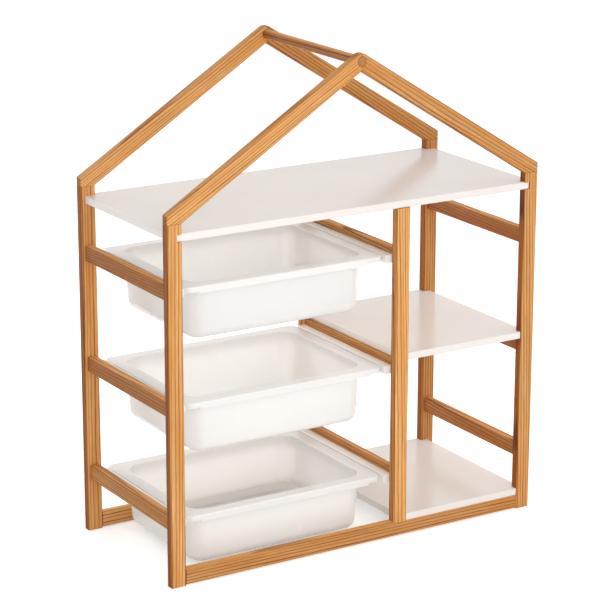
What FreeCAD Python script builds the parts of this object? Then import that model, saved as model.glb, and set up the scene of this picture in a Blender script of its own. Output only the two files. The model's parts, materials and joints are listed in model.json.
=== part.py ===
import FreeCAD, Part
import math
import os
import re
import Sketcher

# House-shaped toy shelf: a frame of bevelled pine stock with a gabled top,
# three white boards, and three moulded bins that hang by their rims on runners.
# X runs to the right, the front faces -Y, Z is up, and the origin lies on the
# floor under the middle of the frame. All lengths are millimetres.

doc = FreeCAD.newDocument("toy_shelf")

SIZES = {
    # frame
    "frame_width": 800,
    "frame_depth": 350,
    "post_height": 678,
    "stock_width": 30,
    "stock_thickness": 18,
    "edge_bevel": 2,
    "roof_pitch": 32,
    "apex_round": 16,
    "ridge_diameter": 18,
    "foot_gap": 2,
    "upper_rail_drop": 94,
    "dowel_diameter": 8,
    "dowel_length": 24,
    # boards
    "board_thickness": 14,
    "board_setback": 2,
    "board_bevel": 1,
    "top_shelf_drop": 18,
    "top_shelf_side_inset": 9,
    "groove_depth": 10,
    "tongue_relief": 1.5,
    "housing_depth": 4,
    # bins
    "rim_length": 420,
    "rim_thickness": 3,
    "rim_corner": 14,
    "rim_bevel": 1,
    "rim_below_rail": 12,
    "lip_wall": 2.5,
    "lip_depth": 10,
    "long_lip_depth": 14,
    "lip_notch": 28,
    "bin_height": 110,
    "bin_floor_gap": 12,
    "bin_front_gap": 20,
    "bin_rear_gap": 6,
    "tub_inset": 22,
    "tub_corner": 36,
    "tub_base_round": 18,
    "tub_floor_bevel": 10,
    "tub_draft": 4,
    "tub_wall": 2.5,
    # runners
    "runner_width": 18,
    "runner_height": 15,
    "runner_bevel": 1.2,
    "runner_end_gap": 1,
    "ledge_width": 14,
    "ledge_thickness": 4,
    "ledge_end_gap": 14,
    "side_play": 3,
    "seat_gap": 0.3,
    # cuts run this far past the face they open
    "cut_overrun": 5,
}

sheet = doc.addObject("Spreadsheet::Sheet", "sizes")
for row, (alias, value) in enumerate(SIZES.items(), start=1):
    sheet.set(f"A{row}", alias)
    sheet.set(f"B{row}", str(value))
    sheet.setAlias(f"B{row}", alias)
doc.recompute()

ALIAS = re.compile(r"\b(" + "|".join(SIZES) + r")\b")


def ex(text):
    return ALIAS.sub(r"sizes.\1", text)


def size_of(text):
    return float(sheet.evalExpression(ex(text)))


# places worked out from the sizes
HALF_WIDTH = "(frame_width / 2)"
POST_X = "((frame_width - stock_width) / 2)"
POST_Y = "((frame_depth - stock_thickness) / 2)"
POST_TO_POST = "(frame_width - 2 * stock_width)"
RAIL_SPAN = "(frame_depth - 2 * stock_thickness)"
RIM_WIDTH = "(frame_depth - bin_front_gap - bin_rear_gap)"
BIN_BAY = "(rim_length + 2 * (side_play + runner_width))"
CENTRE_X = f"({BIN_BAY} + stock_thickness - {POST_X})"
BIN_X = f"(({CENTRE_X} - {POST_X}) / 2)"
BOTTOM_RAIL_TOP = "(foot_gap + stock_width)"
HOUSING_FLOOR = f"({BOTTOM_RAIL_TOP} - housing_depth)"
TOP_SHELF_TOP = "(post_height - top_shelf_drop)"
TOP_SHELF_FLOOR = f"({TOP_SHELF_TOP} - board_thickness)"
TONGUE = "(board_thickness - tongue_relief)"
RAFTER_RISE = "(stock_width / cos(roof_pitch))"
UNDERSIDE_RISE = f"(({HALF_WIDTH} - stock_width) * tan(roof_pitch))"
RIDGE_Z = f"(post_height + {UNDERSIDE_RISE} + {RAFTER_RISE} / 2)"
UPPER_RAIL_TOP = f"({TOP_SHELF_TOP} - upper_rail_drop)"
LOWER_RAIL_TOP = "(bin_floor_gap + bin_height + rim_below_rail)"
LEVELS = {
    "upper": UPPER_RAIL_TOP,
    "middle": f"(({UPPER_RAIL_TOP} + {LOWER_RAIL_TOP}) / 2)",
    "lower": LOWER_RAIL_TOP,
}
SIDES = {"left": f"(0 - {POST_X})", "centre": CENTRE_X, "right": POST_X}
ENDS = {"front": -1, "rear": 1}
HANDS = {"left": -1, "right": 1}
QUARTER_TURN = math.pi / 2
HALF_TURN = FreeCAD.Rotation(FreeCAD.Vector(0, 0, 1), 180)
NO_TURN = FreeCAD.Rotation()
LENGTHWAYS = {
    "x": FreeCAD.Rotation(FreeCAD.Vector(0, 1, 0), 90),
    "y": FreeCAD.Rotation(FreeCAD.Vector(1, 0, 0), -90),
    "z": NO_TURN,
}
DOWEL_FLUTES = 6

nodes = {}


def place(obj, x, y, z, turn=NO_TURN):
    obj.Placement = FreeCAD.Placement(FreeCAD.Vector(), turn)
    for axis, text in zip("xyz", (x, y, z)):
        obj.setExpression(f"Placement.Base.{axis}", ex(text))


def new_body(name):
    body = doc.addObject("PartDesign::Body", name)
    body.Label = name
    return body


def new_sketch(body, role, x="0", y="0", z="0"):
    sketch = body.newObject("Sketcher::SketchObject", body.Name + "_outline")
    plane = [item for item in body.Origin.OriginFeatures if item.Role == role][0]
    sketch.AttachmentSupport = (plane, [""])
    sketch.MapMode = "FlatFace"
    for axis, text in zip("xyz", (x, y, z)):
        sketch.setExpression(f"AttachmentOffset.Base.{axis}", ex(text))
    return sketch


def dimension(sketch, constraint, text):
    index = sketch.addConstraint(constraint)
    sketch.setExpression(f"Constraints[{index}]", ex(text))


def rectangle(sketch, width, height):
    """A rectangle centred on the sketch's origin."""
    half_w = size_of(width) / 2
    half_h = size_of(height) / 2
    corners = [(-half_w, -half_h), (half_w, -half_h), (half_w, half_h), (-half_w, half_h)]
    points = [FreeCAD.Vector(x, y, 0) for x, y in corners]
    first = sketch.GeometryCount
    for k in range(4):
        sketch.addGeometry(Part.LineSegment(points[k], points[(k + 1) % 4]))
    for k in range(4):
        sketch.addConstraint(Sketcher.Constraint("Coincident", first + k, 2, first + (k + 1) % 4, 1))
        way = "Vertical" if k % 2 else "Horizontal"
        sketch.addConstraint(Sketcher.Constraint(way, first + k))
    sketch.addConstraint(Sketcher.Constraint("Symmetric", first, 1, first + 2, 1, -1, 1))
    dimension(sketch, Sketcher.Constraint("DistanceX", first, 1, first, 2, 2 * half_w), width)
    dimension(sketch, Sketcher.Constraint("DistanceY", first + 1, 1, first + 1, 2, 2 * half_h), height)


def rounded_rectangle(sketch, width, height, radius):
    """A rectangle with round corners, centred on the sketch's origin."""
    r = size_of(radius)
    span_x = size_of(width) / 2 - r
    span_y = size_of(height) / 2 - r
    centres = [(span_x, -span_y), (span_x, span_y), (-span_x, span_y), (-span_x, -span_y)]
    first = sketch.GeometryCount
    for k, (x, y) in enumerate(centres):
        circle = Part.Circle(FreeCAD.Vector(x, y, 0), FreeCAD.Vector(0, 0, 1), r)
        sketch.addGeometry(Part.ArcOfCircle(circle, (k - 1) * QUARTER_TURN, k * QUARTER_TURN))
    for k in range(4):
        a = sketch.Geometry[first + k].EndPoint
        b = sketch.Geometry[first + (k + 1) % 4].StartPoint
        sketch.addGeometry(Part.LineSegment(a, b))
    for k in range(4):
        line = first + 4 + k
        sketch.addConstraint(Sketcher.Constraint("Tangent", first + k, 2, line, 1))
        sketch.addConstraint(Sketcher.Constraint("Tangent", line, 2, first + (k + 1) % 4, 1))
        if k:
            sketch.addConstraint(Sketcher.Constraint("Equal", first, first + k))
    for k in range(2):
        way = "Horizontal" if k else "Vertical"
        sketch.addConstraint(Sketcher.Constraint(way, first + 4 + k))
    sketch.addConstraint(Sketcher.Constraint("Symmetric", first, 3, first + 2, 3, -1, 1))
    dimension(sketch, Sketcher.Constraint("Radius", first, r), radius)
    dimension(
        sketch,
        Sketcher.Constraint("DistanceX", first + 3, 3, first, 3, 2 * span_x),
        f"{width} - 2 * {radius}",
    )
    dimension(
        sketch,
        Sketcher.Constraint("DistanceY", first, 3, first + 1, 3, 2 * span_y),
        f"{height} - 2 * {radius}",
    )


def pad(body, sketch, length, side="One side", down=False, draft=None):
    feature = body.newObject("PartDesign::Pad", body.Name + "_pad")
    feature.Profile = sketch
    feature.SideType = side
    feature.Reversed = down
    feature.setExpression("Length", ex(length))
    if draft:
        feature.setExpression("TaperAngle", ex(draft))
    doc.recompute()
    return feature


def pocket_through(body, sketch):
    before = body.Shape.Volume
    feature = body.newObject("PartDesign::Pocket", body.Name + "_pocket")
    feature.Profile = sketch
    feature.Type = "ThroughAll"
    feature.SideType = "Symmetric"
    doc.recompute()
    if body.Shape.Volume >= before:
        raise RuntimeError(body.Label + ": the cut removed nothing")
    return feature


def dress_edges(body, kind, measure, size, chosen):
    base = body.Tip
    names = [f"Edge{k}" for k, edge in enumerate(base.Shape.Edges, start=1) if chosen(edge)]
    feature = body.newObject("PartDesign::" + kind, body.Name + "_edges")
    feature.Base = (base, names)
    feature.setExpression(measure, ex(size))
    doc.recompute()


def round_edges(body, radius, chosen):
    dress_edges(body, "Fillet", "Radius", radius, chosen)


def bevel_edges(body, size, chosen):
    dress_edges(body, "Chamfer", "Size", size, chosen)


def along(axis):
    """Chooses the straight edges that run along one axis."""
    def chosen(edge):
        if edge.Curve.TypeId != "Part::GeomLine":
            return False
        box = edge.BoundBox
        spans = {"x": box.XLength, "y": box.YLength, "z": box.ZLength}
        return spans[axis] == max(spans.values())
    return chosen


def level_at(height, margin):
    """Chooses the edges that lie level at one height."""
    def chosen(edge):
        box = edge.BoundBox
        return abs(box.ZMin - height) < margin and abs(box.ZMax - height) < margin
    return chosen


def on_outline(board_box, margin):
    """Chooses the upper and lower edges on a board's outermost sides."""
    def chosen(edge):
        box = edge.BoundBox
        left_side = box.XMax < board_box.XMin + margin
        right_side = box.XMin > board_box.XMax - margin
        front_side = box.YMax < board_box.YMin + margin
        rear_side = box.YMin > board_box.YMax - margin
        lower_edge = box.ZMax < board_box.ZMin + margin
        upper_edge = box.ZMin > board_box.ZMax - margin
        return (lower_edge or upper_edge) and (left_side or right_side or front_side or rear_side)
    return chosen


def lay(bar, x, y, z, axis, length):
    """Centres a bar on a point, with its length along one axis."""
    at = {"x": x, "y": y, "z": z}
    at[axis] = f"{at[axis]} - {length} / 2"
    bar.setExpression("Height", ex(length))
    place(bar, at["x"], at["y"], at["z"], LENGTHWAYS[axis])


def bored(label, blank, pegs):
    """The finished piece: its blank with a hole for each peg."""
    blank.Label = label + "_blank"
    tool = doc.addObject("Part::Compound", label + "_pegs")
    tool.Links = pegs
    piece = doc.addObject("Part::Cut", label)
    piece.Base = blank
    piece.Tool = tool
    piece.Label = label
    nodes[label] = piece


def post_blank(name, length):
    body = new_body(name)
    sketch = new_sketch(body, "XY_Plane")
    rectangle(sketch, "stock_width", "stock_thickness")
    pad(body, sketch, length)
    bevel_edges(body, "edge_bevel", along("z"))
    return body


# pegs of the blind joints, by the pieces that they join
pegs = {}
pegs_of = {}


def join(name, x, y, z, axis, *pieces):
    """A fluted dowel across the joint between two pieces."""
    peg = doc.addObject("Part::Prism", name)
    peg.Polygon = DOWEL_FLUTES
    peg.setExpression("Circumradius", ex("dowel_diameter / 2"))
    lay(peg, x, y, z, axis, "dowel_length")
    pegs[name] = peg
    for piece in pieces:
        pegs_of.setdefault(piece, []).append(peg)


for side, side_x in SIDES.items():
    for level, level_top in LEVELS.items():
        for end, sign in ENDS.items():
            joint_y = f"{sign} * {RAIL_SPAN} / 2"
            joint_z = f"({level_top} - stock_width / 2)"
            rail = f"{side}_{level}_rail"
            join(f"{end}_{rail}_peg", side_x, joint_y, joint_z, "y", rail, f"{end}_{side}_post")
for end, sign in ENDS.items():
    joint_y = f"{sign} * {POST_Y}"
    for hand, way in HANDS.items():
        corner = f"{end}_{hand}"
        joint_x = f"{way} * ({HALF_WIDTH} - stock_width)"
        joint_z = "(foot_gap + stock_width / 2)"
        join(f"{corner}_foot_peg", joint_x, joint_y, joint_z, "x", f"{end}_bottom_rail", f"{corner}_post")
        seat_x = f"{way} * {POST_X}"
        join(f"{corner}_eave_peg", seat_x, joint_y, "post_height", "z", f"{corner}_rafter", f"{corner}_post")
    foot = f"{end}_centre_post"
    join(f"{foot}_peg", CENTRE_X, joint_y, HOUSING_FLOOR, "z", f"{end}_bottom_rail", foot)

group = doc.addObject("Part::Compound", "joint_dowels")
group.Links = list(pegs.values())
nodes["joint_dowels"] = group

# the ridge bar goes through both gables where their rafters meet
ridge = doc.addObject("Part::Cylinder", "ridge_bar")
ridge.setExpression("Radius", ex("ridge_diameter / 2"))
lay(ridge, "0", "0", RIDGE_Z, "y", "frame_depth")
nodes["ridge_bar"] = ridge

# corner posts, each with a groove on its inner side for a tongue of the top shelf
for end, sign in ENDS.items():
    for hand, way in HANDS.items():
        label = f"{end}_{hand}_post"
        body = post_blank(label + "_body", "post_height")
        groove_x = "(stock_width + cut_overrun - groove_depth) / 2"
        groove_z = f"{TOP_SHELF_FLOOR} + {TONGUE} / 2"
        sketch = new_sketch(body, "XZ_Plane", groove_x, groove_z)
        rectangle(sketch, "groove_depth + cut_overrun", TONGUE)
        pocket_through(body, sketch)
        place(body, f"{way} * {POST_X}", f"{sign} * {POST_Y}", "0", HALF_TURN if way > 0 else NO_TURN)
        bored(label, body, pegs_of[label])

# centre posts stand in the bottom rails' housings and carry the top shelf
for end, sign in ENDS.items():
    label = f"{end}_centre_post"
    body = post_blank(label + "_body", f"{TOP_SHELF_FLOOR} - {HOUSING_FLOOR}")
    place(body, CENTRE_X, f"{sign} * {POST_Y}", HOUSING_FLOOR)
    bored(label, body, pegs_of[label])


def rafter_blank(name):
    """A rafter with a level seat on its post, plumb cuts at eave and apex, and a rounded tip."""
    body = new_body(name)
    sketch = new_sketch(body, "XZ_Plane")
    pitch = math.radians(size_of("roof_pitch"))
    seat = size_of("stock_width")
    eave = size_of(f"{RAFTER_RISE} - stock_width * tan(roof_pitch)")
    reach = size_of(HALF_WIDTH)
    fall = size_of(UNDERSIDE_RISE)
    radius = size_of("apex_round")
    drop = size_of(f"{RAFTER_RISE} - apex_round / cos(roof_pitch)")
    centre = FreeCAD.Vector(reach, fall + drop, 0)
    circle = Part.Circle(centre, FreeCAD.Vector(0, 0, 1), radius)
    tip = Part.ArcOfCircle(circle, QUARTER_TURN, QUARTER_TURN + pitch)
    corners = [(0, eave), (0, 0), (seat, 0), (reach, fall)]
    points = [FreeCAD.Vector(x, z, 0) for x, z in corners]
    points = [tip.EndPoint] + points + [tip.StartPoint]
    for a, b in zip(points, points[1:]):
        sketch.addGeometry(Part.LineSegment(a, b))
    sketch.addGeometry(tip)
    top_line, eave_line, seat_line, under_line, apex_line, tip_arc = range(len(points))
    for line in (top_line, eave_line, seat_line, under_line):
        sketch.addConstraint(Sketcher.Constraint("Coincident", line, 2, line + 1, 1))
    sketch.addConstraint(Sketcher.Constraint("Coincident", apex_line, 2, tip_arc, 1))
    sketch.addConstraint(Sketcher.Constraint("Tangent", tip_arc, 2, top_line, 1))
    sketch.addConstraint(Sketcher.Constraint("Coincident", seat_line, 1, -1, 1))
    sketch.addConstraint(Sketcher.Constraint("Horizontal", seat_line))
    sketch.addConstraint(Sketcher.Constraint("Vertical", apex_line))
    sketch.addConstraint(Sketcher.Constraint("Vertical", eave_line))
    sketch.addConstraint(Sketcher.Constraint("Vertical", apex_line, 1, tip_arc, 3))
    sketch.addConstraint(Sketcher.Constraint("Parallel", under_line, top_line))
    dimension(sketch, Sketcher.Constraint("DistanceX", seat_line, 1, seat_line, 2, seat), "stock_width")
    dimension(sketch, Sketcher.Constraint("DistanceX", seat_line, 1, apex_line, 1, reach), HALF_WIDTH)
    dimension(sketch, Sketcher.Constraint("DistanceY", seat_line, 1, apex_line, 1, fall), UNDERSIDE_RISE)
    dimension(sketch, Sketcher.Constraint("Radius", tip_arc, radius), "apex_round")
    dimension(
        sketch,
        Sketcher.Constraint("DistanceY", apex_line, 1, tip_arc, 3, drop),
        f"{RAFTER_RISE} - apex_round / cos(roof_pitch)",
    )
    pad(body, sketch, "stock_thickness", "Symmetric")
    margin = size_of("edge_bevel")

    def in_view(edge):
        box = edge.BoundBox
        across = box.YLength > margin
        on_seat = box.ZMax < margin
        on_mitre = box.XMin > reach - margin
        return not (across or on_seat or on_mitre)

    bevel_edges(body, "edge_bevel", in_view)
    return body


for end, sign in ENDS.items():
    for hand, way in HANDS.items():
        label = f"{end}_{hand}_rafter"
        body = rafter_blank(label + "_body")
        turn = HALF_TURN if way > 0 else NO_TURN
        place(body, f"{way} * {HALF_WIDTH}", f"{sign} * {POST_Y}", "post_height", turn)
        bored(label, body, pegs_of[label] + [ridge])

# bottom rails, housed on top for the lowest board and the centre post
HOUSING_END = f"({HALF_WIDTH} - stock_width + cut_overrun)"
HOUSING_START = f"({CENTRE_X} - stock_width / 2)"
for end, sign in ENDS.items():
    label = f"{end}_bottom_rail"
    body = new_body(label + "_body")
    sketch = new_sketch(body, "YZ_Plane")
    rectangle(sketch, "stock_thickness", "stock_width")
    pad(body, sketch, POST_TO_POST, "Symmetric")
    bevel_edges(body, "edge_bevel", along("x"))
    middle_x = f"({HOUSING_START} + {HOUSING_END}) / 2"
    middle_z = "(stock_width + cut_overrun - housing_depth) / 2"
    sketch = new_sketch(body, "XZ_Plane", middle_x, middle_z)
    rectangle(sketch, f"{HOUSING_END} - {HOUSING_START}", "housing_depth + cut_overrun")
    pocket_through(body, sketch)
    place(body, "0", f"{sign} * {POST_Y}", "foot_gap + stock_width / 2")
    bored(label, body, pegs_of[label])

# side and divider rails between the front and rear posts
for side, side_x in SIDES.items():
    for level, level_top in LEVELS.items():
        label = f"{side}_{level}_rail"
        body = new_body(label + "_body")
        sketch = new_sketch(body, "XZ_Plane")
        rectangle(sketch, "stock_thickness", "stock_width")
        pad(body, sketch, RAIL_SPAN, "Symmetric")
        bevel_edges(body, "edge_bevel", along("y"))
        place(body, side_x, "0", f"{level_top} - stock_width / 2")
        bored(label, body, pegs_of[label])


def board(label, parts, z):
    """A board whose corners are cut back round the posts."""
    body = new_body(label)
    for middle, length, width, thickness in parts:
        sketch = new_sketch(body, "XY_Plane", middle)
        rectangle(sketch, length, width)
        pad(body, sketch, thickness)
    bevel_edges(body, "board_bevel", on_outline(body.Shape.BoundBox, size_of("board_bevel")))
    place(body, "0", "0", z)
    nodes[label] = body


BOARD_DEPTH = "frame_depth - 2 * board_setback"
top_field = ("0", POST_TO_POST, BOARD_DEPTH, "board_thickness")
top_sides = ("0", "frame_width - 2 * top_shelf_side_inset", RAIL_SPAN, "board_thickness")
top_tongues = ("0", f"{POST_TO_POST} + 2 * groove_depth", BOARD_DEPTH, TONGUE)
board("top_shelf", [top_field, top_sides, top_tongues], TOP_SHELF_FLOOR)
bay_middle = f"({CENTRE_X} + {POST_X}) / 2"
bay_field = (bay_middle, f"{POST_X} - {CENTRE_X} - stock_width", BOARD_DEPTH, "board_thickness")
bay_sides = (bay_middle, f"{POST_X} - {CENTRE_X}", RAIL_SPAN, "board_thickness")
board("middle_shelf", [bay_field, bay_sides], LEVELS["middle"])
board("bottom_shelf", [bay_field, bay_sides], HOUSING_FLOOR)

# runners, one on each rail face that looks into the bin bay
RIM_TOPS = {level: f"({top} - rim_below_rail)" for level, top in LEVELS.items()}
LEDGE_LENGTH = f"{RAIL_SPAN} - 2 * ledge_end_gap"
for level, rim_top in RIM_TOPS.items():
    for hand, way in HANDS.items():
        label = f"{level}_{hand}_runner"
        body = new_body(label)
        sketch = new_sketch(body, "XZ_Plane", "runner_width / 2", "runner_height / 2")
        rectangle(sketch, "runner_width", "runner_height")
        pad(body, sketch, f"{RAIL_SPAN} - 2 * runner_end_gap", "Symmetric")
        bevel_edges(body, "runner_bevel", along("y"))
        sketch = new_sketch(body, "XZ_Plane", "(runner_width + ledge_width) / 2", "ledge_thickness / 2")
        rectangle(sketch, "runner_width + ledge_width", "ledge_thickness")
        pad(body, sketch, LEDGE_LENGTH, "Symmetric")
        face_x = f"{BIN_X} + {way} * {BIN_BAY} / 2"
        ledge_top = f"{rim_top} - lip_depth - seat_gap"
        place(body, face_x, "0", f"{ledge_top} - ledge_thickness", HALF_TURN if way > 0 else NO_TURN)
        nodes[label] = body


def bin_body(label):
    """A drafted tub with a flat rim whose edge turns down into a lip."""
    body = new_body(label)
    length = "(rim_length - 2 * tub_inset)"
    width = f"({RIM_WIDTH} - 2 * tub_inset)"
    sketch = new_sketch(body, "XY_Plane")
    rounded_rectangle(sketch, length, width, "tub_corner")
    pad(body, sketch, "bin_height", down=True, draft="0 - tub_draft")
    inside = (f"({length} - 2 * tub_wall)", f"({width} - 2 * tub_wall)", "(tub_corner - tub_wall)")
    sketch = new_sketch(body, "XY_Plane")
    rounded_rectangle(sketch, *inside)
    hollow = body.newObject("PartDesign::Pocket", body.Name + "_hollow")
    hollow.Profile = sketch
    hollow.setExpression("Length", ex("bin_height - tub_wall"))
    hollow.setExpression("TaperAngle", ex("0 - tub_draft"))
    doc.recompute()
    gauge = size_of("tub_wall")
    base_z = -size_of("bin_height")
    bevel_edges(body, "tub_floor_bevel", level_at(base_z + gauge, gauge / 2))
    round_edges(body, "tub_base_round", level_at(base_z, gauge / 2))
    sketch = new_sketch(body, "XY_Plane")
    rounded_rectangle(sketch, "rim_length", RIM_WIDTH, "rim_corner")
    rounded_rectangle(sketch, *inside)
    pad(body, sketch, "rim_thickness", down=True)
    sketch = new_sketch(body, "XY_Plane")
    rounded_rectangle(sketch, "rim_length", RIM_WIDTH, "rim_corner")
    rounded_rectangle(
        sketch,
        "(rim_length - 2 * lip_wall)",
        f"({RIM_WIDTH} - 2 * lip_wall)",
        "(rim_corner - lip_wall)",
    )
    pad(body, sketch, "lip_depth", down=True)
    for sign in ENDS.values():
        sketch = new_sketch(body, "XY_Plane", "0", f"{sign} * ({RIM_WIDTH} - lip_wall) / 2")
        rectangle(sketch, "rim_length - 2 * lip_notch", "lip_wall")
        pad(body, sketch, "long_lip_depth", down=True)
    half_length = size_of(length) / 2
    half_width = size_of(width) / 2

    def rim_edge(edge):
        middle = edge.CenterOfMass
        return abs(middle.z) < gauge / 2 and (abs(middle.x) > half_length or abs(middle.y) > half_width)

    bevel_edges(body, "rim_bevel", rim_edge)
    return body


for level, rim_top in RIM_TOPS.items():
    label = f"{level}_bin"
    body = bin_body(label)
    place(body, BIN_X, "(bin_front_gap - bin_rear_gap) / 2", rim_top)
    nodes[label] = body

doc.recompute()
for obj in doc.Objects:
    if {"Invalid", "Error"} & set(obj.State):
        raise RuntimeError(f"{obj.Label}: {obj.State}")
for label, obj in nodes.items():
    if obj.Shape.isNull() or not obj.Shape.isValid():
        raise RuntimeError(label + ": no valid shape")
os.makedirs("parts", exist_ok=True)
for label, obj in nodes.items():
    obj.Shape.exportStep(f"parts/{label}.step")
    print(label, len(obj.Shape.Solids), round(obj.Shape.Volume / 1000, 1), "cm3")
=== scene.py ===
import json
import math
import random

import bpy
from mathutils import Matrix, Vector


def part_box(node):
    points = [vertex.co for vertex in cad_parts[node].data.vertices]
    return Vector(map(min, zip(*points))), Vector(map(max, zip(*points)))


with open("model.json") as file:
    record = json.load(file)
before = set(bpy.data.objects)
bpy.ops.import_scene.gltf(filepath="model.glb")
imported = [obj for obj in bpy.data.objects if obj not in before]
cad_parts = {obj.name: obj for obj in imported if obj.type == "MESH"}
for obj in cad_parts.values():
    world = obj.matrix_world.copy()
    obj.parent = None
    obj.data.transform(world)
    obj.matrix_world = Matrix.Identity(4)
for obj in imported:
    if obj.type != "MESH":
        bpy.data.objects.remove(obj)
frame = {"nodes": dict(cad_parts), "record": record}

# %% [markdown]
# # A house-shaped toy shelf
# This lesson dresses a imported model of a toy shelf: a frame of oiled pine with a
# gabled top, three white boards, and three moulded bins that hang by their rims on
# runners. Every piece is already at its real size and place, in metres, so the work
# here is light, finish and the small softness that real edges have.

scene = bpy.context.scene
nodes = frame["nodes"]
subparts = frame["record"]["subparts"]
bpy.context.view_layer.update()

# %% [markdown]
# ## The camera
# The photograph was taken from the left of the front, a little above the roof, with a
# long lens. A camera could be aimed by eye, but its place and turn were worked out from
# the edges of the shelf, so they are written here as a point and three angles in
# radians: how far it swings to the right, dips below the level, and rolls.

# %% Where the camera looks
SWING = 0.5544
DIP = 0.2882
ROLL = 0.0025

ahead = Vector((math.sin(SWING) * math.cos(DIP), math.cos(SWING) * math.cos(DIP), -math.sin(DIP)))
level = Vector((math.cos(SWING), -math.sin(SWING), 0.0))
upright = level.cross(ahead)
right = level * math.cos(ROLL) + upright * math.sin(ROLL)
up = upright * math.cos(ROLL) - level * math.sin(ROLL)
turn = Matrix((right, up, -ahead)).transposed()
print("looking along", [round(v, 3) for v in ahead])

# %% The camera at the photograph's angle
PHOTO_PIXELS = 616
FOCAL_PIXELS = 2411.6
SENSOR_MM = 36.0
CAMERA_PLACE = (-2.317, -3.7352, 1.7278)
FARTHEST_SEEN = 100.0

camera_data = bpy.data.cameras.new("photo_camera")
camera_data.sensor_fit = "AUTO"
camera_data.sensor_width = SENSOR_MM
camera_data.lens = SENSOR_MM * FOCAL_PIXELS / PHOTO_PIXELS
camera_data.clip_end = FARTHEST_SEEN
camera = bpy.data.objects.new("photo_camera", camera_data)
camera.matrix_world = Matrix.Translation(CAMERA_PLACE) @ turn.to_4x4()
scene.collection.objects.link(camera)
scene.camera = camera
scene.view_settings.view_transform = "Standard"
print("lens", round(camera_data.lens, 2), "mm at", CAMERA_PLACE)

# %% [markdown]
# ## Floor and backdrop
# The shelf stands in a white studio. The white could come from strong lamps, but those
# would bleach the boards and bins. So the floor and the world get their white from
# Light Path, which lifts them only for rays from the camera, in a gloss or through
# glass. The floor keeps its own matt white underneath, which takes the shadow.

# %% A floor large enough to have no visible end
FLOOR_HALF = 9.0

floor_mesh = bpy.data.meshes.new("studio_floor")
corners = [(x * FLOOR_HALF, y * FLOOR_HALF, 0.0) for x, y in ((-1, -1), (1, -1), (1, 1), (-1, 1))]
floor_mesh.from_pydata(corners, [], [(0, 1, 2, 3)])
floor = bpy.data.objects.new("studio_floor", floor_mesh)
scene.collection.objects.link(floor)
print("floor", 2 * FLOOR_HALF, "m square")

# %% Helpers that add and join nodes
def wire(tree, *links):
    """Joins pairs of sockets."""
    for a, b in links:
        tree.links.new(a, b)


def put(tree, kind, **values):
    """Adds a node and sets its properties and input values by name."""
    node = tree.nodes.new("ShaderNode" + kind)
    for name, value in values.items():
        if hasattr(node, name):
            setattr(node, name, value)
        else:
            node.inputs[name.replace("_", " ")].default_value = value
    return node


def sums(tree, operation, a, b=None, c=None):
    """Adds a Math node; each term is a number or a socket."""
    node = put(tree, "Math", operation=operation)
    for socket, term in zip(node.inputs, (a, b, c)):
        if isinstance(term, bpy.types.NodeSocket):
            tree.links.new(term, socket)
        elif term is not None:
            socket.default_value = term
    return node.outputs[0]


print("helpers to wire, put and sum nodes")

# %% White floor paint that keeps the shadow
WHITE = (1.0, 1.0, 1.0, 1.0)
FLOOR_PAINT = (0.90, 0.90, 0.90, 1.0)
FLOOR_LIFT = 0.45


def seen_directly(tree):
    """1 for rays that show the background: from the camera, in a gloss or through glass."""
    rays = put(tree, "LightPath").outputs
    either = sums(tree, "MAXIMUM", rays["Is Camera Ray"], rays["Is Glossy Ray"])
    return sums(tree, "MAXIMUM", either, rays["Is Transmission Ray"])


floor_paint = bpy.data.materials.new("studio_white")
floor_paint.use_nodes = True
tree = floor_paint.node_tree
tree.nodes.clear()
matt = put(tree, "BsdfDiffuse", Color=FLOOR_PAINT)
glow = put(tree, "Emission", Color=WHITE)
both = put(tree, "AddShader")
end = put(tree, "OutputMaterial")
lift = sums(tree, "MULTIPLY", seen_directly(tree), FLOOR_LIFT)
wire(tree, (lift, glow.inputs["Strength"]))
wire(tree, (matt.outputs[0], both.inputs[0]), (glow.outputs[0], both.inputs[1]))
wire(tree, (both.outputs[0], end.inputs["Surface"]))
floor_mesh.materials.append(floor_paint)
print("floor paint lifted by", FLOOR_LIFT)

# %% [markdown]
# ## Light
# Furniture for children is shown in soft, even light with hardly a shadow. One strong
# lamp would be simpler, but it would leave the insides of the bins grey. So the world
# fills in from all sides, most from low on the right, where the shelf is open, and
# three soft lamps stand around it: a wide one in front, one behind, and a small low one
# at the right. The last two shine through the thin walls of the bins, which then glow.

# %% A helper that maps one range to another
def span(tree, value, low, high, to_low=0.0, to_high=1.0, smooth=False):
    """Maps a value from one range to another, held at the ends."""
    remap = put(tree, "MapRange", clamp=True)
    remap.interpolation_type = "SMOOTHSTEP" if smooth else "LINEAR"
    for socket, number in zip(remap.inputs[1:5], (low, high, to_low, to_high)):
        socket.default_value = number
    wire(tree, (value, remap.inputs[0]))
    return remap.outputs[0]


print("a helper to map ranges")

# %% A world that is brighter on the open side
FILL_FROM = Vector((0.94, -0.34, -0.9)).normalized()
FILL_LEAST = 0.50
FILL_MOST = 1.46
FILL_COLOUR = (1.0, 0.99, 0.98, 1.0)

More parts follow.
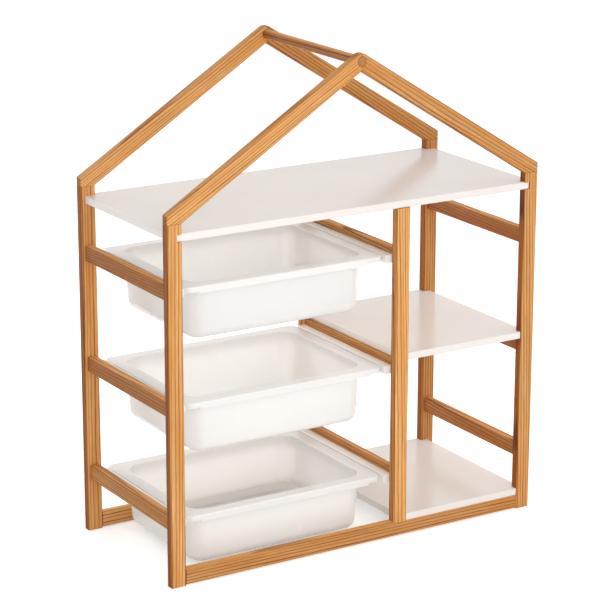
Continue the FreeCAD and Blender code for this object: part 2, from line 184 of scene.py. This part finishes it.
world = bpy.data.worlds.new("studio")
world.use_nodes = True
scene.world = world
tree = world.node_tree
tree.nodes.clear()
where = put(tree, "TexCoord")
towards = put(tree, "VectorMath", operation="DOT_PRODUCT")
towards.inputs[1].default_value = FILL_FROM
wire(tree, (where.outputs["Generated"], towards.inputs[0]))
open_side = span(tree, towards.outputs["Value"], low=-1.0, high=1.0, to_low=FILL_LEAST, to_high=FILL_MOST)
fill = put(tree, "Background", Color=FILL_COLOUR)
wire(tree, (open_side, fill.inputs["Strength"]))
backdrop = put(tree, "Background", Color=WHITE, Strength=1.0)
choice = put(tree, "MixShader")
end = put(tree, "OutputWorld")
wire(tree, (seen_directly(tree), choice.inputs[0]))
wire(tree, (fill.outputs[0], choice.inputs[1]), (backdrop.outputs[0], choice.inputs[2]))
wire(tree, (choice.outputs[0], end.inputs["Surface"]))
print("fill from", FILL_LEAST, "to", FILL_MOST)

# %% Soft lamps in front, behind and at the side
MIDDLE = (0.0, 0.0, 0.45)
LEVEL_WITH_BINS = (0.0, 0.0, 0.32)


def soft_lamp(name, place, aim, size, watts, colour):
    """A round soft lamp that faces a point of the shelf."""
    lamp = bpy.data.lights.new(name, "AREA")
    lamp.shape = "DISK"
    lamp.size = size
    lamp.energy = watts
    lamp.color = colour
    holder = bpy.data.objects.new(name, lamp)
    holder.location = place
    holder.rotation_euler = (Vector(aim) - Vector(place)).to_track_quat("-Z", "Y").to_euler()
    scene.collection.objects.link(holder)
    print(name, watts, "W,", size, "m across")


soft_lamp(
    "front_softbox",
    place=(-1.0, -2.6, 1.25),
    aim=MIDDLE,
    size=2.2,
    watts=22.5,
    colour=(1.0, 0.985, 0.96),
)
soft_lamp(
    "rear_softbox",
    place=(-0.6, 2.4, 0.95),
    aim=MIDDLE,
    size=1.8,
    watts=25.0,
    colour=(1.0, 0.99, 0.97),
)
soft_lamp(
    "side_softbox",
    place=(2.2, 0.6, 0.18),
    aim=LEVEL_WITH_BINS,
    size=0.34,
    watts=18.0,
    colour=(1.0, 0.965, 0.92),
)

# %% [markdown]
# ## Rings of oiled pine
# The frame is planed softwood under oil: pale wood between narrow dark lines, which
# are the rings of the trunk cut along their length. The lines could be painted on each
# face, but in a real bar they go through the wood, so the rings are worked out in
# space: the distance from a heart that lies outside the bar, counted in ring widths,
# with some wander. All of it is one node group, which each bar uses with its own values.

# %% What the ring group takes and gives
def new_group(name, inputs, outputs):
    """A node group whose sockets are (kind, name, value) and (kind, name)."""
    group = bpy.data.node_groups.new(name, "ShaderNodeTree")
    for kind, label, value in inputs:
        socket = group.interface.new_socket(label, in_out="INPUT", socket_type="NodeSocket" + kind)
        if value is not None:
            socket.default_value = value
    for kind, label in outputs:
        group.interface.new_socket(label, in_out="OUTPUT", socket_type="NodeSocket" + kind)
    into = group.nodes.new("NodeGroupInput")
    out = group.nodes.new("NodeGroupOutput")
    return group, into.outputs, out.inputs


rings, given, gives = new_group(
    "pine_rings",
    [
        ("Vector", "Place", None),
        ("Vector", "Heart", None),
        ("Float", "Ring width", 0.0045),
        ("Float", "Tone", 0.5),
        ("Float", "Narrow tone", 0.5),
        ("Float", "End tone", 0.5),
        ("Float", "Edge wear and shade", 0.45),
        ("Float", "Narrow face", 0.0),
        ("Float", "End face", 0.0),
    ],
    [("Color", "Colour"), ("Float", "Roughness"), ("Float", "Height")],
)
print("the ring group takes", [socket.name for socket in given if socket.name])

# %% Helpers that stretch places and scatter values
def scaled(tree, vector, factors):
    """A vector stretched by three factors."""
    stretch = put(tree, "VectorMath", operation="MULTIPLY")
    stretch.inputs[1].default_value = factors
    wire(tree, (vector, stretch.inputs[0]))
    return stretch.outputs[0]


def noise(tree, vector, scale, detail=2.0, roughness=0.5):
    """A soft cloud of values around one half."""
    cloud = put(tree, "TexNoise", Scale=scale, Detail=detail, Roughness=roughness)
    wire(tree, (vector, cloud.inputs["Vector"]))
    return cloud.outputs["Fac"]


def sway(tree, cloud, reach):
    """Turns a cloud of values into a push to either side."""
    return sums(tree, "MULTIPLY", sums(tree, "SUBTRACT", cloud, 0.5), reach)


print("helpers to stretch, scatter and sway")

# %% Count the rings outwards from the heart
ALONG_SLOW = 0.07
WANDER = 0.014
RIPPLE = 0.0022

moved = put(rings, "VectorMath", operation="ADD")
wire(rings, (given["Place"], moved.inputs[0]), (given["Heart"], moved.inputs[1]))
bar_place = moved.outputs[0]
slow_place = scaled(rings, bar_place, (ALONG_SLOW, 1.0, 1.0))
wander = sway(rings, noise(rings, slow_place, scale=26.0, detail=1.0), WANDER)
ripple = sway(rings, noise(rings, slow_place, scale=170.0), RIPPLE)
apart = put(rings, "SeparateXYZ")
wire(rings, (bar_place, apart.inputs[0]))
across = sums(rings, "MULTIPLY", apart.outputs[1], apart.outputs[1])
deep = sums(rings, "MULTIPLY", apart.outputs[2], apart.outputs[2])
from_heart = sums(rings, "SQRT", sums(rings, "ADD", across, deep))
reach = sums(rings, "ADD", sums(rings, "ADD", from_heart, wander), ripple)
count = sums(rings, "DIVIDE", reach, given["Ring width"])
print("rings wander by up to", round(500 * WANDER, 1), "mm either way")

# %% Dark lines of summer wood
FAINTEST_LINE = 0.50

year = sums(rings, "FLOOR", count)
season = sums(rings, "FRACT", count)
summer = span(rings, season, low=0.55, high=0.88, smooth=True)
winter = span(rings, season, low=0.93, high=1.0)
line = sums(rings, "MULTIPLY", summer, sums(rings, "SUBTRACT", 1.0, winter))
chance = put(rings, "TexWhiteNoise", noise_dimensions="1D")
wire(rings, (year, chance.inputs["W"]))
strong_year = span(rings, chance.outputs["Value"], low=0.0, high=1.0, to_low=FAINTEST_LINE)
line = sums(rings, "MULTIPLY", line, strong_year)
print("lines from", FAINTEST_LINE, "to full strength")

# %% Fibres, streaks and the colour of the bare wood
EARLY_WOOD = (0.95, 0.57, 0.235, 1.0)
LATE_WOOD = (0.20, 0.055, 0.010, 1.0)
WARM_WOOD = (0.82, 0.395, 0.115, 1.0)
AMBER_WOOD = (0.84, 0.31, 0.065, 1.0)
FIBRE_STRETCH = (0.02, 1.0, 1.0)
STREAK_STRETCH = (0.03, 1.0, 1.0)


def blend(tree, share, a, b, mode="MIX"):
    """Mixes two colours; each is a colour or a socket."""
    mix = put(tree, "Mix", data_type="RGBA", blend_type=mode)
    for socket, term in zip((mix.inputs[0], mix.inputs[6], mix.inputs[7]), (share, a, b)):
        if isinstance(term, bpy.types.NodeSocket):
            tree.links.new(term, socket)
        else:
            socket.default_value = term
    return mix.outputs[2]


fibre = noise(rings, scaled(rings, bar_place, FIBRE_STRETCH), scale=1500.0, detail=3.0, roughness=0.6)
streak = noise(rings, scaled(rings, bar_place, STREAK_STRETCH), scale=240.0)
mottle = noise(rings, slow_place, scale=60.0)
ground = blend(rings, span(rings, mottle, low=0.3, high=0.7), EARLY_WOOD, WARM_WOOD)
wood = blend(rings, line, ground, LATE_WOOD)
wood = blend(rings, span(rings, fibre, low=0.35, high=0.75, to_high=0.42), wood, LATE_WOOD)
wood = blend(rings, span(rings, streak, low=0.40, high=0.70, to_high=0.45), wood, AMBER_WOOD)
print("pale wood", EARLY_WOOD[:3], "and dark lines", LATE_WOOD[:3])

# %% [markdown]
# ## Oil and painted shade on faces, ends and edges
# Oil darkens the real bars unevenly, and the ends of a bar take it in their own way. The
# wide and narrow faces also get tones that paint the shade and light falling on them:
# sides turned from the light darker, tops turned to it lighter. The edges are darker
# still, partly as wear where hands rub and partly as painted shade where they turn from
# the light. Each face could have its own material, but the faces of one bar share their
# rings, so the group gets a tone for each kind of face and mixes them by how the surface
# is turned. A tone of 1 leaves the wood as it is, and 0 gives it the deepest oil and
# painted shade.

# %% The tone of each face, with painted shade and light
# narrow tones paint shade on sides turned from the light and light on tops turned to it
tone = given["Tone"]
for face in ("Narrow", "End"):
    share = span(rings, given[face + " face"], low=0.60, high=0.90, smooth=True)
    change = sums(rings, "SUBTRACT", given[face + " tone"], tone)
    tone = sums(rings, "MULTIPLY_ADD", share, change, tone)
print("tones for wide, narrow and end faces")

# %% Darker edges, from wear and painted shade
arris = 0.0
for face in ("Narrow", "End"):
    facing = sums(rings, "MULTIPLY", given[face + " face"], given[face + " face"])
    turning = sums(rings, "MULTIPLY", facing, sums(rings, "SUBTRACT", 1.0, facing))
    arris = sums(rings, "MAXIMUM", arris, span(rings, turning, low=0.17, high=0.24))
patchy = span(rings, mottle, low=0.25, high=0.7, to_low=0.5)
# edges darkened in patches: partly wear where hands rub, partly painted shade where edges turn from the
# light
worn_and_shaded_edges = sums(rings, "MULTIPLY", sums(rings, "MULTIPLY", arris, patchy), given["Edge wear and shade"])
tone = sums(rings, "MULTIPLY", tone, sums(rings, "SUBTRACT", 1.0, worn_and_shaded_edges))
print("edges darkened in patches")

# %% Colour, roughness and height of the oiled wood, with its painted shade
# the deepest colour darkens the wood for oil and for painted shade alike
DEEP_OIL_AND_SHADE = (0.37, 0.205, 0.03, 1.0)
LEAST_OIL_AND_SHADE = (1.0, 1.0, 1.0, 1.0)
LINE_RIDGE = 0.6
FIBRE_GROOVE = 0.8

oil_and_shade = blend(rings, tone, DEEP_OIL_AND_SHADE, LEAST_OIL_AND_SHADE)
oiled_and_shaded_wood = blend(rings, 1.0, wood, oil_and_shade, "MULTIPLY")
ridges = sums(rings, "MULTIPLY", line, LINE_RIDGE)
grooves = sums(rings, "MULTIPLY", fibre, FIBRE_GROOVE)
satin = span(rings, fibre, low=0.3, high=0.8, to_low=0.50, to_high=0.70)
wire(rings, (oiled_and_shaded_wood, gives["Colour"]), (satin, gives["Roughness"]))
wire(rings, (sums(rings, "SUBTRACT", ridges, grooves), gives["Height"]))
print("ring group with", len(rings.nodes), "nodes")

# %% [markdown]
# ## A piece of timber for each bar
# The bars of a real frame are sawn from different boards, so no two show the same
# lines or quite the same tone. One shared material would repeat itself, so each bar gets
# its own: another heart, another ring width, a grain that runs out a little towards the
# edge, and tones that follow the photograph, which also paint the shade and light that
# fall on each bar. Fixed seeds draw the same timber each time.

# %% Helpers for materials
def bare_material(name):
    """A material with only its shader and output."""
    paint = bpy.data.materials.new(name)
    paint.use_nodes = True
    tree = paint.node_tree
    tree.nodes.clear()
    shader = put(tree, "BsdfPrincipled")
    end = put(tree, "OutputMaterial")
    wire(tree, (shader.outputs[0], end.inputs["Surface"]))
    return paint, tree, shader


def cover_with(tree, shader, group, strength, depth):
    """Feeds a shader from a group that gives colour, roughness and height."""
    bump = put(tree, "Bump", Strength=strength, Distance=depth)
    wire(tree, (group.outputs["Height"], bump.inputs["Height"]))
    wire(tree, (bump.outputs["Normal"], shader.inputs["Normal"]))
    wire(tree, (group.outputs["Colour"], shader.inputs["Base Color"]))
    wire(tree, (group.outputs["Roughness"], shader.inputs["Roughness"]))


print("helpers for bare materials and their cover")

# %% How dark each bar is, with painted shade and light
# by the words in a bar's name: tones of its wide faces, from and to, of its narrow and
# its end faces, and how much darker its edges are; the first row that fits is used.
# The wide and narrow tones paint shade and light: dark sides of posts and rails, light
# tops of rails, and bars darker or lighter where less or more light falls on them;
# the edge column is wear and painted shade
PLANK_TONES_AND_SHADE = {
    ("centre", "post"): (0.94, 1.00, 0.42, 0.30, 0.45),
    ("rear", "right", "post"): (0.40, 0.56, 0.00, 0.30, 0.45),
    ("post",): (0.72, 0.94, 0.00, 0.30, 0.45),
    ("left", "rafter"): (0.82, 0.98, 0.66, 0.08, 0.45),
    ("front", "right", "rafter"): (0.61, 0.81, 0.40, 0.20, 0.45),
    ("right", "rafter"): (0.40, 0.60, 0.40, 0.20, 0.45),
    ("rear", "bottom", "rail"): (0.84, 0.96, 0.92, 0.30, 0.30),
    ("bottom", "rail"): (0.54, 0.68, 0.92, 0.30, 0.30),
    ("centre", "upper", "rail"): (0.46, 0.60, 0.92, 0.30, 0.45),
    ("centre", "rail"): (0.34, 0.48, 0.72, 0.30, 0.45),
    ("right", "upper", "rail"): (0.06, 0.18, 0.80, 0.30, 0.45),
    ("right", "rail"): (0.12, 0.28, 0.80, 0.30, 0.45),
    ("left", "lower", "rail"): (0.42, 0.54, 0.80, 0.30, 0.45),
    ("rail",): (0.18, 0.32, 0.95, 0.30, 0.45),
    ("bar",): (0.10, 0.18, 0.78, 0.40, 0.0),
    ("dowels",): (0.50, 0.60, 0.50, 0.40, 0.0),
}


def tones_of(bar):
    """The first row of tones whose words are all in the bar's name."""
    words = set(bar.split("_"))
    return next(tones for key, tones in PLANK_TONES_AND_SHADE.items() if set(key) <= words)


print(len(PLANK_TONES_AND_SHADE), "kinds of bar")

# %% Which way each bar lies
X = Vector((1, 0, 0))
Y = Vector((0, 1, 0))
Z = Vector((0, 0, 1))
ROOF_SLOPE = math.radians(32.0)


def bar_ways(bar):
    """The directions of a bar's length and of the width of its wide faces."""
    if bar.endswith("_rafter"):
        slope = ROOF_SLOPE * (1 if "left" in bar else -1)
        along = Vector((math.cos(slope), 0, math.sin(slope)))
        return along, Vector((-math.sin(slope), 0, math.cos(slope)))
    if bar.endswith("_post"):
        return Z, X
    if bar.endswith("bottom_rail"):
        return X, Z
    return Y, Z


wooden = [part["node"] for part in subparts if part["material_slot"] == "pine"]
print(len(wooden), "wooden pieces")

# %% Measure along a bar's grain
RUN_OUT = 0.03

run_out = random.Random(7)


def place_in_bar(tree, bar, along, wide):
    """Places measured along a bar's grain, which runs out a little."""
    low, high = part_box(bar)
    tilt = run_out.uniform(-RUN_OUT, RUN_OUT)
    grain = (along + wide * tilt, wide - along * tilt, along.cross(wide))
    where = put(tree, "TexCoord")
    turned = put(tree, "Mapping", vector_type="TEXTURE")
    turned.inputs["Location"].default_value = (low + high) / 2
    turned.inputs["Rotation"].default_value = Matrix(grain).transposed().to_euler()
    wire(tree, (where.outputs["Object"], turned.inputs[0]))
    return turned.outputs[0]


print("grain runs out by up to", round(1000 * RUN_OUT), "mm in a metre")

# %% Saw a bar from its own log
HEART_LEAN = 0.7
HEART_NEAR = 0.05
HEART_FAR = 0.11
LOG_LENGTH = 9
RINGS_FINE = 0.0044
RINGS_COARSE = 0.0066

lumber = random.Random(32)


def saw_from_log(timber, bar):
    """Draws a heart, a ring width and a tone for one bar."""
    lean = lumber.uniform(-HEART_LEAN, HEART_LEAN)
    far = lumber.uniform(HEART_NEAR, HEART_FAR)
    side = lumber.choice((-1.0, 1.0))
    start = lumber.uniform(0, LOG_LENGTH)
    timber.inputs["Heart"].default_value = (start, side * far * math.cos(lean), far * math.sin(lean))
    timber.inputs["Ring width"].default_value = lumber.uniform(RINGS_FINE, RINGS_COARSE)
    # these tones paint the shade and light on this bar's faces, along with its own tone
    deepest, palest, narrow, end, edge = tones_of(bar)
    timber.inputs["Tone"].default_value = lumber.uniform(deepest, palest)
    timber.inputs["Narrow tone"].default_value = narrow
    timber.inputs["End tone"].default_value = end
    timber.inputs["Edge wear and shade"].default_value = edge


print("rings from", RINGS_FINE, "to", RINGS_COARSE, "m wide")

# %% Oiled pine on every bar
WOOD_BUMP = 0.25
WOOD_BUMP_DEPTH = 0.0004
OIL_SHINE = 0.2


def pine_for(bar, along, wide):
    """Oiled pine whose rings run along one bar."""
    paint, tree, shader = bare_material("pine_" + bar)
    timber = put(tree, "Group", node_tree=rings)
    wire(tree, (place_in_bar(tree, bar, along, wide), timber.inputs["Place"]))
    saw_from_log(timber, bar)
    surface = put(tree, "NewGeometry")
    for label, way in (("Narrow face", wide), ("End face", along)):
        facing = put(tree, "VectorMath", operation="DOT_PRODUCT")
        facing.inputs[1].default_value = way
        wire(tree, (surface.outputs["Normal"], facing.inputs[0]))
        wire(tree, (sums(tree, "ABSOLUTE", facing.outputs["Value"]), timber.inputs[label]))
    cover_with(tree, shader, timber, WOOD_BUMP, WOOD_BUMP_DEPTH)
    shader.inputs["Specular IOR Level"].default_value = OIL_SHINE
    return paint


for bar in wooden:
    nodes[bar].material_slots[0].material = pine_for(bar, *bar_ways(bar))
print(len(wooden), "pieces of pine dressed")

# %% [markdown]
# ## White lacquer and moulded plastic
# The boards are covered with a satin white lacquer, rolled on, which leaves a fine
# orange-peel. The bins and runners are moulded plastic with a faint spark-eroded
# texture, and the thin bins let some light through. All could be one flat white, but
# then they would look like paper, so one group gives each its own unevenness, a slow
# change of tone and a gloss that varies, and the bins also scatter light inside.

# %% A group for fine unevenness
skin, given, gives = new_group(
    "fine_skin",
    [
        ("Vector", "Place", None),
        ("Color", "Colour", (0.8, 0.8, 0.8, 1.0)),
        ("Color", "Worn", (0.7, 0.7, 0.7, 1.0)),
        ("Float", "Pitch", 800.0),
        ("Float", "Gloss", 0.4),
    ],
    [("Color", "Colour"), ("Float", "Roughness"), ("Float", "Height")],
)
RUB_STRETCH = (1.0, 4.0, 1.0)
CLOUD_SHARE = 0.5

peel = put(skin, "TexNoise", Detail=2.0, Roughness=0.5)
wire(skin, (given["Place"], peel.inputs["Vector"]), (given["Pitch"], peel.inputs["Scale"]))
cloud = noise(skin, given["Place"], scale=7.0, detail=3.0)
rub = noise(skin, scaled(skin, given["Place"], RUB_STRETCH), scale=38.0, detail=5.0, roughness=0.65)
clouded = sums(skin, "MULTIPLY", span(skin, cloud, low=0.35, high=0.75), CLOUD_SHARE)
tint = blend(skin, clouded, given["Colour"], given["Worn"])
tint = blend(skin, span(skin, rub, low=0.60, high=0.85, to_high=0.12), tint, given["Worn"])
uneven = span(skin, rub, low=0.35, high=0.8, to_low=-0.02, to_high=0.05)
shine = sums(skin, "ADD", given["Gloss"], uneven)
wire(skin, (tint, gives["Colour"]), (shine, gives["Roughness"]), (peel.outputs["Fac"], gives["Height"]))
print("skin group with", len(skin.nodes), "nodes")

# %% A white finish
GLOW_RADIUS = (1.0, 0.96, 0.92)
GLOW_SCALE = 0.010
SKIN_DEPTH = 0.0002


def white_finish(name, colour, worn, pitch, gloss, bump, glow=0.0):
    """A white surface: the higher its pitch, the finer its texture."""
    paint, tree, shader = bare_material(name)
    shader.inputs["Subsurface Weight"].default_value = glow
    shader.inputs["Subsurface Radius"].default_value = GLOW_RADIUS
    shader.inputs["Subsurface Scale"].default_value = GLOW_SCALE
    where = put(tree, "TexCoord")
    cover = put(tree, "Group", node_tree=skin)
    for label, value in (("Colour", colour), ("Worn", worn), ("Pitch", pitch), ("Gloss", gloss)):
        cover.inputs[label].default_value = value
    wire(tree, (where.outputs["Object"], cover.inputs["Place"]))
    cover_with(tree, shader, cover, bump, SKIN_DEPTH)
    print(name, "made")
    return paint


print("light goes about", round(1000 * GLOW_SCALE), "mm deep where a finish glows")

# %% Finishes for boards, bins and runners
finishes = {
    "white_board": white_finish(
        "board_lacquer",
        colour=(0.87, 0.82, 0.785, 1.0),
        worn=(0.81, 0.755, 0.715, 1.0),
        pitch=420.0,
        gloss=0.19,
        bump=0.02,
    ),
    "white_bin": white_finish(
        "bin_plastic",
        colour=(0.97, 0.94, 0.905, 1.0),
        worn=(0.945, 0.91, 0.87, 1.0),
        pitch=1500.0,
        gloss=0.24,
        bump=0.06,
        glow=1.0,
    ),
    "white_runner": white_finish(
        "runner_plastic",
        colour=(0.94, 0.92, 0.89, 1.0),
        worn=(0.90, 0.875, 0.845, 1.0),
        pitch=1100.0,
        gloss=0.40,
        bump=0.12,
    ),
}
print(len(finishes), "white finishes")

# %% White on boards, bins and runners
whites = [part for part in subparts if part["material_slot"] in finishes]
for part in whites:
    nodes[part["node"]].material_slots[0].material = finishes[part["material_slot"]]
print(len(whites), "white pieces dressed")

# %% [markdown]
# ## Softer edges
# Planed wood, board edges and moulded plastic all have a small round on every edge,
# which catches the light as a fine line. The shapes have their real bevels already, so
# a narrow Bevel modifier rounds what is left. Before it, the doubled points along the
# seams are welded and flat faces are made whole, since a bevel needs clean edges to
# follow. Weighted normals keep the broad faces flat.

# %% A group that welds and smooths
WELD_DISTANCE = 0.00001


def smoothing_group():
    """Welds doubled points and shades the faces smooth."""
    group = bpy.data.node_groups.new("weld_and_smooth", "GeometryNodeTree")
    group.interface.new_socket("Geometry", in_out="INPUT", socket_type="NodeSocketGeometry")
    group.interface.new_socket("Geometry", in_out="OUTPUT", socket_type="NodeSocketGeometry")
    into = group.nodes.new("NodeGroupInput")
    bare = group.nodes.new("GeometryNodeRemoveAttribute")
    bare.inputs["Name"].default_value = "custom_normal"
    weld = group.nodes.new("GeometryNodeMergeByDistance")
    weld.inputs["Distance"].default_value = WELD_DISTANCE
    smooth = group.nodes.new("GeometryNodeSetShadeSmooth")
    out = group.nodes.new("NodeGroupOutput")
    steps = [into, bare, weld, smooth, out]
    for a, b in zip(steps, steps[1:]):
        group.links.new(a.outputs[0], b.inputs[0])
    return group


weld_and_smooth = smoothing_group()
print("weld group with", len(weld_and_smooth.nodes), "nodes")

# %% Weld, round and smooth every piece
EDGE_ROUND = {"pine": 0.0010, "white_board": 0.0005, "white_bin": 0.0005, "white_runner": 0.0005}
ROUND_STEPS = 2
FLAT_WITHIN = math.radians(0.5)
SHARP_FROM = math.radians(32.0)
BROAD_FACE_WEIGHT = 50

for part in subparts:
    piece = nodes[part["node"]]
    piece.modifiers.new("weld_and_smooth", "NODES").node_group = weld_and_smooth
    whole = piece.modifiers.new("whole_faces", "DECIMATE")
    whole.decimate_type = "DISSOLVE"
    whole.angle_limit = FLAT_WITHIN
    rounding = piece.modifiers.new("edge_round", "BEVEL")
    rounding.width = EDGE_ROUND[part["material_slot"]]
    rounding.segments = ROUND_STEPS
    rounding.limit_method = "ANGLE"
    rounding.angle_limit = SHARP_FROM
    even = piece.modifiers.new("flat_faces", "WEIGHTED_NORMAL")
    even.mode = "FACE_AREA"
    even.weight = BROAD_FACE_WEIGHT
print("edges rounded on", len(subparts), "pieces")
